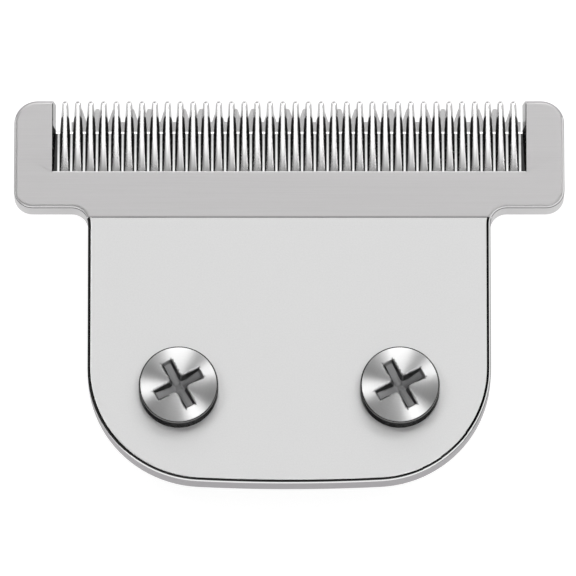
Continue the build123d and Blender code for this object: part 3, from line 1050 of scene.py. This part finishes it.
# %% Score the cross
RECESS_TURN = 28.0
ARM_HALF, ARM_REACH, CORNER_R = 0.41, 1.87, 0.28
DOME_FALL = 0.36
CORNER_LINES = [Vector((math.cos(a), math.sin(a))) for a in map(math.radians, (22.5, 45.0, 67.5))]


def head_top(bm):
    """The faces of the head's top."""
    low = (HEAD_TOP - DOME_FALL) * MM
    return [f for f in bm.faces if f.normal.z > 0.96 and f.calc_center_median().z > low]


def cross_place(point, x):
    """A point measured along the two arms of the recess."""
    turn = Matrix.Rotation(-math.radians(RECESS_TURN), 2)
    return turn @ Vector((point.x / MM - x, point.y / MM))


def score_cross(bm, x, grow):
    """Cuts the outline of the cross into the head's top, or a line that runs round it at a distance."""
    turn = Matrix.Rotation(math.radians(RECESS_TURN), 3, "Z")
    axis = Vector((x, 0, 0))
    for arm in (Vector((1, 0, 0)), Vector((-1, 0, 0)), Vector((0, 1, 0)), Vector((0, -1, 0))):
        normal = turn @ arm
        for reach in (ARM_HALF + grow, ARM_REACH + grow):
            cut_line(bm, axis + normal * reach, normal, touching(head_top(bm)))
    near, far = ARM_HALF + grow, ARM_HALF + CORNER_R + 0.3
    for u_side, v_side in ((1, 1), (-1, 1), (-1, -1), (1, -1)):
        hub = axis + turn @ Vector((u_side, v_side, 0)) * (ARM_HALF + CORNER_R)
        for line in CORNER_LINES:
            corner = []
            for f in head_top(bm):
                u, v = cross_place(f.calc_center_median(), x)
                if near < u * u_side < far and near < v * v_side < far:
                    corner.append(f)
            normal = turn @ Vector((line.x * u_side, line.y * v_side, 0))
            cut_line(bm, hub - normal * (CORNER_R - grow), normal, touching(corner))


print("recess arms reach", ARM_REACH, "mm from the axis")

# %% [markdown]
# Then the faces inside the cross are pushed down, and the mouth's edge is lowered a little towards them.
# The punch tapers, so the floor is narrower than the mouth, and it is deepest in the middle.

# %% Press the recess
LIP_WIDTH, LIP_DROP = 0.13, 0.09
RECESS_DEPTH, ARM_RISE, TAPER = 1.1, 0.6, 0.38


def in_cross(place):
    """Whether a point lies in the cross. Its four inner corners are rounded."""
    u, v = (abs(c) for c in place)
    if min(u, v) < ARM_HALF:
        return max(u, v) < ARM_REACH
    hub = Vector((ARM_HALF + CORNER_R, ARM_HALF + CORNER_R))
    return any((Vector((u, v)) - hub).dot(line) < -CORNER_R for line in CORNER_LINES)


def draw_in(reach):
    """Where a point of the mouth comes to lie on the floor."""
    return reach - min(reach, ARM_HALF) * TAPER


def press_recess(bm, x):
    """The cross recess in the head, with a broken lip."""
    score_cross(bm, x, LIP_WIDTH)
    score_cross(bm, x, 0.0)
    inside = [f for f in head_top(bm) if in_cross(cross_place(f.calc_center_median(), x))]
    pressed = set(inside)
    mouth = {v for f in inside for v in f.verts if any(near not in pressed for near in v.link_faces)}
    for v in pull_faces(bm, inside):
        place = cross_place(v.co, x)
        out = max(abs(c) for c in place)
        rise = max(out - ARM_HALF, 0) * ARM_RISE / (ARM_REACH - ARM_HALF)
        place = Vector([math.copysign(draw_in(abs(c)), c) for c in place])
        place = Matrix.Rotation(math.radians(RECESS_TURN), 2) @ place
        v.co = Vector((x + place.x, place.y, HEAD_TOP - RECESS_DEPTH + rise)) * MM
    for v in mouth:
        v.co.z -= LIP_DROP * MM
    return len(pressed), len(mouth)


print("recess", RECESS_DEPTH, "mm deep in the middle")

# %% [markdown]
# The M3 thread is rolled into the shank. A bump would not show at the screw's outline. So the ridge is a
# small closed profile that climbs by one pitch a turn as it spins, and its end is trimmed to the screw's
# point.

# %% Thread and two screws
THREAD_PITCH, THREAD_TURNS, THREAD_STEPS = 0.5, 8, 32
THREAD_R, POINT_R = 1.5, 1.06
RIDGE = ((1.2, 0.16), (1.49, -0.02), (1.49, -0.08), (1.2, -0.26), (1.2, 0.16))


def roll_thread(x):
    """The ridge of the thread."""
    bm = bmesh.new()
    draw_along(bm, [(x + r, 0, z) for r, z in RIDGE])
    merge_doubles(bm)
    out = bmesh.ops.spin(
        bm,
        geom=bm.verts[:] + bm.edges[:],
        cent=(x * MM, 0, 0),
        axis=Z_AXIS,
        dvec=(0, 0, -THREAD_PITCH / THREAD_STEPS * MM),
        angle=2 * math.pi * THREAD_TURNS,
        steps=THREAD_STEPS * THREAD_TURNS,
    )
    bmesh.ops.edgeloop_fill(bm, edges=pick(out["geom_last"], Edge))
    bmesh.ops.edgeloop_fill(bm, edges=[e for e in bm.edges if e.is_boundary])
    for v in bm.verts:
        arm = Vector((v.co.x / MM - x, v.co.y / MM))
        v.co.z = max(v.co.z, (SCREW_END + 2 * HAIR) * MM)
        limit = min(THREAD_R, POINT_R + v.co.z / MM - SCREW_END)
        if arm.length > limit:
            arm *= limit / arm.length
            v.co.x = (x + arm.x) * MM
            v.co.y = arm.y * MM
    return bm


for name, node, x, turned in (
    ("screw_left", "left_screw", -SCREW_X, left_turned),
    ("screw_right", "right_screw", SCREW_X, right_turned),
):
    screw = bmesh.new()
    blank = screw_blank(x)
    print(name, "recess faces and mouth", press_recess(blank, x))
    add_shell(screw, blank)
    add_shell(screw, roll_thread(x))
    screw.normal_update()
    for f in screw.faces:
        arm = f.calc_center_median() / MM - Vector((x, 0, 0))
        if arm.xy.length > HEAD_R - 0.175 and f.normal.z < 0.9:
            # The head's side takes the painted shade steel, and its rim the painted black line.
            f.material_index = 1 if f.normal.z < 0.6 else 2
    make_piece(screw, name, "blade_base", node, [turned, head_side_shade, head_rim_shade], 28)

# %% [markdown]
# ## Rear frame
# The frame is a moulding: a U-shaped wall, a web behind the plate, two screw pads, a rail that guides the
# cutter, a ledge for the spring and two pegs for its coils. One outline cannot hold them all. Each is a
# simple closed shell with rounded edges, and they run into each other as they do in the mould.

# %% Frame wall and web
FRAME_RIM, FRAME_TOP = -4.2, 13.4
FRAME_SHIELD = (12.5, 4.85, 5.0)
WALL, WEB_INSET = 1.4, 0.5
WEB_LOW, WEB_TOP, WEB_HOLE_R = 1.0, 8.1, 2.4
MOULD_R = 0.28

frame_piece = bmesh.new()
wall = bmesh.new()
end = shield_side(wall, *FRAME_SHIELD, FRAME_RIM, FRAME_TOP)
half, drop, corner = (size - WALL for size in FRAME_SHIELD)
corner_x, corner_y, lean = shield_corner(half, drop, corner)
end = draw_path(wall, end, FRAME_RIM, ((half, FRAME_TOP), (half, corner_y)))
draw_path(wall, end, FRAME_RIM, ((corner_x, corner_y, lean - 90, 24), (0, BOW - drop, -lean, 10)))
block_from_half(wall, BACK - FRAME_RIM)
soften(wall, crease_edges(wall, 40), MOULD_R, 3)
add_shell(frame_piece, wall)

web = bmesh.new()
end = shield_side(web, *(size - WEB_INSET for size in FRAME_SHIELD), WEB_LOW, WEB_TOP)
draw_to(web, end, 0, WEB_TOP, WEB_LOW)
block_from_half(web, BACK - WEB_LOW - HAIR)
drill(web, [(-SCREW_X, 0), (SCREW_X, 0)], WEB_HOLE_R)
add_shell(frame_piece, web)
print("frame wall and web faces", len(frame_piece.faces))

# %% Pads, rail, ledge and pegs
BAR_REACH = 11.8
PEG_Y, PEG_Z = 6.4, -1.47
PEG = ((BAR_REACH, 0.0), (BAR_REACH, 1.0), (8.55, 1.0), (8.36, 0.82), (8.36, 0.0))
PAD_IN, PAD_OUT, PAD_TOP = 1.65, 3.2, 1.995
PAD_FOOT = ((PAD_IN, 0.12), (PAD_IN + 0.12, 0.0), (PAD_OUT - 0.15, 0.0), (PAD_OUT, 0.15))
PAD = ((PAD_IN, PAD_TOP), *PAD_FOOT, (PAD_OUT, PAD_TOP), (PAD_IN, PAD_TOP))


def moulded_bar(low, high, radius):
    """A straight bar with rounded edges."""
    bm = bmesh.new()
    size = (Vector(high) - Vector(low)) * MM
    spot = Matrix.Translation((Vector(high) + Vector(low)) / 2 * MM)
    bmesh.ops.create_cube(bm, size=1.0, matrix=spot @ Matrix.Diagonal((*size, 1)))
    soften(bm, bm.edges[:], radius, 3)
    return bm


def moulded_pad(x):
    """A ring round a screw hole."""
    bm = bmesh.new()
    draw_along(bm, [(x + r, 0, z) for r, z in PAD])
    merge_doubles(bm)
    full_spin(bm, (x, 0, 0), Z_AXIS, 64)
    return bm


def moulded_peg(side):
    """A round peg that stands out of the frame's wall."""
    bm = bmesh.new()
    draw_along(bm, [(side * x, PEG_Y + r, PEG_Z) for x, r in PEG])
    full_spin(bm, (0, PEG_Y, PEG_Z), X_AXIS, 40)
    return bm


add_shell(frame_piece, moulded_bar((-BAR_REACH, 7.4, 0.33), (BAR_REACH, 8.15, 1.98), 0.1))
add_shell(frame_piece, moulded_bar((-BAR_REACH, 3.4, 0.23), (BAR_REACH, 4.3, 1.98), 0.1))
for side in (-1, 1):
    add_shell(frame_piece, moulded_pad(side * SCREW_X))
    add_shell(frame_piece, moulded_peg(side))
make_piece(frame_piece, "frame_moulding", "blade_base", "rear_frame", [black_plastic])

# %% [markdown]
# ## Drive carrier
# The carrier sits on the cutter's back. Its base is held by two moulded rivets, a claw reaches under the
# frame's rail, and a fork with a slot takes the motor's eccentric. The slot opens towards the motor and has
# a lead-in. It could be carved from one block, but rounded shells that run into each other are closer to a
# moulding.

# %% Base and fork of the carrier
FORK_HALF, FORK_R = 4.075, 0.5
FORK_LOW, FORK_TOP = 6.7, 13.2
FORK_Z, FORK_DEPTH = -4.0, 3.6
SLOT_HALF, SLOT_TOP = 2.525, 12.2


def round_plate(half, low_y, high_y, corner, low_z, high_z, edge):
    """A flat block with round corners."""
    bm = bmesh.new()
    x, low, high = half - corner, low_y + corner, high_y - corner
    moves = ((x, low_y), (x, low, 90, 6), (half, high), (x, high, 90, 6), (0, high_y))
    draw_path(bm, start_line(bm, 0, low_y, low_z), low_z, moves)
    block_from_half(bm, high_z - low_z)
    soften(bm, crease_edges(bm, 40), edge, 3)
    return bm


def fork_walls():
    """The two walls and the end of the fork, round the slot."""
    bm = bmesh.new()
    x, low, high = FORK_HALF - FORK_R, FORK_LOW + FORK_R, FORK_TOP - FORK_R
    outside = ((x, FORK_TOP), (x, high, -90, 6), (FORK_HALF, low), (x, low, -90, 6))
    slot = ((SLOT_HALF, FORK_LOW), (SLOT_HALF, SLOT_TOP), (0, SLOT_TOP))
    draw_path(bm, start_line(bm, 0, FORK_TOP, FORK_Z), FORK_Z, outside + slot)
    block_from_half(bm, FORK_DEPTH)
    lead_in = []
    for e in crease_edges(bm, 40):
        x, y, z = middle(e)
        if abs(abs(x) - SLOT_HALF) < HAIR and z < FORK_Z + 0.1 and FORK_LOW + 0.3 < y < SLOT_TOP - 0.2:
            lead_in.append(e)
    soften(bm, lead_in, 0.35, 1)
    bm.normal_update()
    soften(bm, [e for e in crease_edges(bm, 60) if middle(e).z < FORK_Z + 0.5], 0.08, 2)
    return bm


carrier = bmesh.new()
add_shell(carrier, round_plate(8.0, 8.25, FORK_TOP, 0.8, 0.23, CUT_BACK, 0.12))
add_shell(carrier, round_plate(FORK_HALF, FORK_LOW, FORK_TOP, FORK_R, -0.52, 0.24, 0.06))
add_shell(carrier, fork_walls())
print("carrier base and fork faces", len(carrier.faces))

# %% Claw and rivets of the carrier
RIVET = ((0.0, 1.1), (0.9, 1.1), (0.9, 1.78), (0.82, 1.86), (0.0, 1.86))

add_shell(carrier, moulded_bar((-4.0, 6.72, 0.1), (4.0, 7.3, 0.9), 0.1))
for x in (-RIVET_X, RIVET_X):
    rivet = bmesh.new()
    draw_along(rivet, [(x + r, RIVET_Y, z) for r, z in RIVET])
    full_spin(rivet, (x, RIVET_Y, 0), Z_AXIS, 32)
    add_shell(carrier, rivet)
bmesh.ops.translate(carrier, verts=carrier.verts[:], vec=(SHIFT * MM, 0, 0))
make_piece(carrier, "carrier_moulding", "cutter", "drive_carrier", [white_acetal])

# %% [markdown]
# ## Spring
# The spring is one wire. A curve with a round bevel could give it, but its bends would only be close. A
# coiling machine feeds the wire straight, bends it and winds it, and the mesh is made in the same order: a
# ring of edges is pulled along each straight run and spun round each bend. In the coil the spin also moves
# sideways by one pitch a turn. Half of the spring is made this way, and the other half is its mirror.

# %% Feed and wind the wire
WIRE_R = 0.3
COIL_R, COIL_PITCH, COIL_TURNS = 1.5, 0.72, 2
BEND_R = 0.7
wire = bmesh.new()


def feed(edges, vec):
    """A straight run of wire."""
    verts = pick(bmesh.ops.extrude_edge_only(wire, edges=edges)["geom"], Vert)
    bmesh.ops.translate(wire, verts=verts, vec=Vector(vec) * MM)
    return [e for e in wire.edges if all(v in verts for v in e.verts)]


def wind(edges, centre, axis, degrees, steps, travel=(0, 0, 0)):
    """A bend or a coil of wire."""
    verts = list(dict.fromkeys(v for e in edges for v in e.verts))
    out = bmesh.ops.spin(
        wire,
        geom=verts + edges,
        cent=Vector(centre) * MM,
        axis=axis,
        dvec=Vector(travel) * MM / steps,
        angle=math.radians(degrees),
        steps=steps,
    )
    return pick(out["geom_last"], Edge)


print("wire", 2 * WIRE_R, "mm thick")

# %% Places of the spring
LEG_Z = -0.12
FOOT_X, FOOT_Y, BRIDGE_Y = 5.375, 11.2, 3.85
COIL_X = 8.86
lean = math.atan(COIL_PITCH / (2 * math.pi * COIL_R))
down = Vector((math.sin(lean), -math.cos(lean), 0))
foot_end = Vector((FOOT_X, FOOT_Y, LEG_Z))
coil_in = Vector((COIL_X, PEG_Y, LEG_Z))
coil_out = coil_in + Vector((COIL_TURNS * COIL_PITCH, 0, 0))
foot_corner = Vector((coil_in.x - math.tan(lean) * (FOOT_Y - PEG_Y), FOOT_Y, LEG_Z))
tail_corner = Vector((coil_out.x + math.tan(lean) * (PEG_Y - BRIDGE_Y), BRIDGE_Y, LEG_Z))
bend_in, bend_out = math.pi / 2 - lean, math.pi / 2 + lean
trim = BEND_R * math.tan(bend_in / 2)
corner_in = foot_corner - Vector((trim, 0, 0))
tail_end = tail_corner - down * trim
hub_out = tail_end + Vector((down.y, -down.x, 0)) * BEND_R
print("the wire leans by", round(math.degrees(lean), 2), "degrees in the coil")

# %% Spring wire
spot = Matrix.Translation(foot_end * MM) @ Matrix.Rotation(math.pi / 2, 4, "Y")
ring = bmesh.ops.create_circle(wire, cap_ends=True, radius=WIRE_R * MM, segments=14, matrix=spot)["verts"]
loop = feed(edges_of(ring), corner_in - foot_end)
loop = wind(loop, corner_in - Vector((0, BEND_R, 0)), Z_AXIS, -math.degrees(bend_in), 8)
loop = feed(loop, coil_in - foot_corner - down * trim)
coil_travel = (COIL_TURNS * COIL_PITCH, 0, 0)
loop = wind(loop, (0, PEG_Y, LEG_Z - COIL_R), X_AXIS, 360 * COIL_TURNS, 32 * COIL_TURNS, coil_travel)
loop = feed(loop, tail_corner - coil_out - down * trim)
loop = wind(loop, hub_out, Z_AXIS, -math.degrees(bend_out), 8)
last = sum((v.co for e in loop for v in e.verts), Vector()) / (2 * len(loop)) / MM
feed(loop, (-last.x, 0, 0))
print("bridge of the spring at y", round(last.y, 3), "and z", round(last.z, 3))
half = wire.verts[:] + wire.edges[:] + wire.faces[:]
bmesh.ops.mirror(wire, geom=half, matrix=Matrix.Identity(4), merge_dist=1e-6, axis="X")
spring = bmesh.new()
add_shell(spring, wire)
make_piece(spring, "spring_wire_form", "blade_base", "tension_spring", [spring_wire], 40)

# %% [markdown]
# ## Floor, light and camera
# The part lies on its frame's rim on a white sheet. More light would make the sheet white, but it would
# burn out the steel. So the sheet glows to the camera and to the metal, and keeps a share of plain matt for
# the soft shadow. From below it is clear, so that the back of the part can be seen.

# %% Floor
sheet = bmesh.new()
ground = Matrix.Translation((0, 0, cad_low.z))
bmesh.ops.create_circle(sheet, cap_ends=True, radius=4.0, segments=64, matrix=ground)
sheet_mesh = bpy.data.meshes.new("white_sheet")
sheet.to_mesh(sheet_mesh)
sheet.free()
floor_sheet = bpy.data.objects.new("white_sheet", sheet_mesh)
scene.collection.objects.link(floor_sheet)
print("floor at z", round(cad_low.z / MM, 2), "mm")

# %% Paper of the floor
paper = bpy.data.materials.new("white_paper")
paper.use_nodes = True
tree = paper.node_tree
tree.nodes.clear()


def either(share, first, second):
    """One of two shaders, or a mix of them."""
    node = tree.nodes.new("ShaderNodeMixShader")
    for value, socket in zip((share, first, second), node.inputs):
        join(tree, value, socket)
    return node.outputs[0]


path = tree.nodes.new("ShaderNodeLightPath").outputs
seen = calc(tree, "MAXIMUM", path["Is Camera Ray"], path["Is Glossy Ray"])
seen = calc(tree, "MAXIMUM", seen, path["Is Transmission Ray"])
matt = add_node(tree, "ShaderNodeBsdfDiffuse", Color=grey(0.85)).outputs[0]
faint = add_node(tree, "ShaderNodeBsdfDiffuse", Color=grey(0.3)).outputs[0]
glow = add_node(tree, "ShaderNodeEmission", Strength=0.88).outputs[0]
lit = tree.nodes.new("ShaderNodeAddShader")
for shader, socket in zip((faint, glow), lit.inputs):
    join(tree, shader, socket)
clear = tree.nodes.new("ShaderNodeBsdfTransparent").outputs[0]
from_below = tree.nodes.new("ShaderNodeNewGeometry").outputs["Backfacing"]
surface = either(from_below, either(seen, matt, lit.outputs[0]), clear)
tree.links.new(surface, tree.nodes.new("ShaderNodeOutputMaterial").inputs[0])
sheet_mesh.materials.append(paper)
print("paper nodes", len(tree.nodes))

# %% [markdown]
# The light is all in the sky, as soft boxes round the part. Lamps could hang there, but a panel in the sky
# shows in the metal just as wide and as soft as it is drawn. The panels are placed round the direction in
# which the plate mirrors the camera: one on it lights the flat plate, and the others make the bright wedges
# on the screws. A strip ahead lights the teeth, a low band lights the rims, and a faint fill behind keeps
# the back from turning black.

# %% Sky
TILT = 15.0
DARKNESS = 0.03
sky = bpy.data.worlds.new("studio_sky")
scene.world = sky
sky.use_nodes = True
tree = sky.node_tree
direction = tree.nodes.new("ShaderNodeTexCoord").outputs["Generated"]
x, y, z = split(tree, direction)


def both(first, second):
    """The light that two masks let through."""
    return calc(tree, "MULTIPLY", first, second)


sideways = fade(tree, calc(tree, "ABSOLUTE", x), 0.14, 0.24, 1.0, 0.0)
ahead = calc(tree, "GREATER_THAN", y, 0.0)
height = both(fade(tree, z, 0.40, 0.50), fade(tree, z, 0.78, 0.88, 1.0, 0.0))
strip = calc(tree, "MULTIPLY_ADD", both(both(sideways, ahead), height), 3.0, DARKNESS)
low_band = both(fade(tree, z, 0.50, 0.62, 1.0, 0.0), fade(tree, x, -0.9, -0.5, 0.4, 1.0))
behind = both(fade(tree, y, -0.40, -0.15, 0.45, 0.0), fade(tree, z, 0.86, 0.94, 1.0, 0.0))
light = calc(tree, "MAXIMUM", calc(tree, "MAXIMUM", strip, low_band), behind)
print("strip, low band and fill joined")

# %% Panels in the sky


def panel(towards, radius, soft, level):
    """A round soft box in the sky. Its radius and its soft edge are in degrees."""
    near = add_node(tree, "ShaderNodeVectorMath", operation="DOT_PRODUCT")
    near.inputs[1].default_value = towards.normalized()
    tree.links.new(direction, near.inputs[0])
    dark_end, bright_end = (math.cos(math.radians(angle)) for angle in (radius + soft, radius - soft))
    return fade(tree, near.outputs[1], dark_end, bright_end, 0.0, level)


def from_mirror(turn, reach):
    """A direction some degrees away from where the plate mirrors the camera."""
    turn, reach = math.radians(turn), math.radians(reach)
    flat = Vector((math.sin(reach) * math.cos(turn), math.sin(reach) * math.sin(turn), math.cos(reach)))
    return Matrix.Rotation(math.radians(-TILT), 3, "X") @ flat


for turn, reach, radius, soft, level in (
    (0, 0, 10, 4, 1.0),
    (90, 20, 9, 3, 1.65),
    (30, 27, 7, 3, 5.2),
    (300, 26, 9, 3, 4.6),
    (185, 27, 8, 3, 5.2),
):
    light = calc(tree, "MAXIMUM", light, panel(from_mirror(turn, reach), radius, soft, level))
tree.links.new(light, tree.nodes["Background"].inputs["Color"])
print("sky nodes", len(tree.nodes))

# %% [markdown]
# The camera looks at the plate from 15 degrees below its normal. A short lens close by would show the sides
# of the screws, so a long lens stands a metre away. The view transform is Standard, so a colour looks as it
# is written.

# %% Camera
LENS_DISTANCE = 1.0
FIELD = 41.74 * MM
SENSOR = 36.0
tilt = math.radians(TILT)
aim = Vector((-0.09, 7.58, FRONT)) * MM
camera = bpy.data.cameras.new("camera")
camera.sensor_width = SENSOR
camera.lens = SENSOR * LENS_DISTANCE / FIELD
camera.clip_start = 0.01
camera.clip_end = 20.0
viewer = bpy.data.objects.new("camera", camera)
scene.collection.objects.link(viewer)
viewer.location = aim + Vector((0, -math.sin(tilt), math.cos(tilt))) * LENS_DISTANCE
viewer.rotation_euler = (tilt, 0, 0)
scene.camera = viewer
scene.view_settings.view_transform = "Standard"
print("lens", round(camera.lens, 1), "mm")
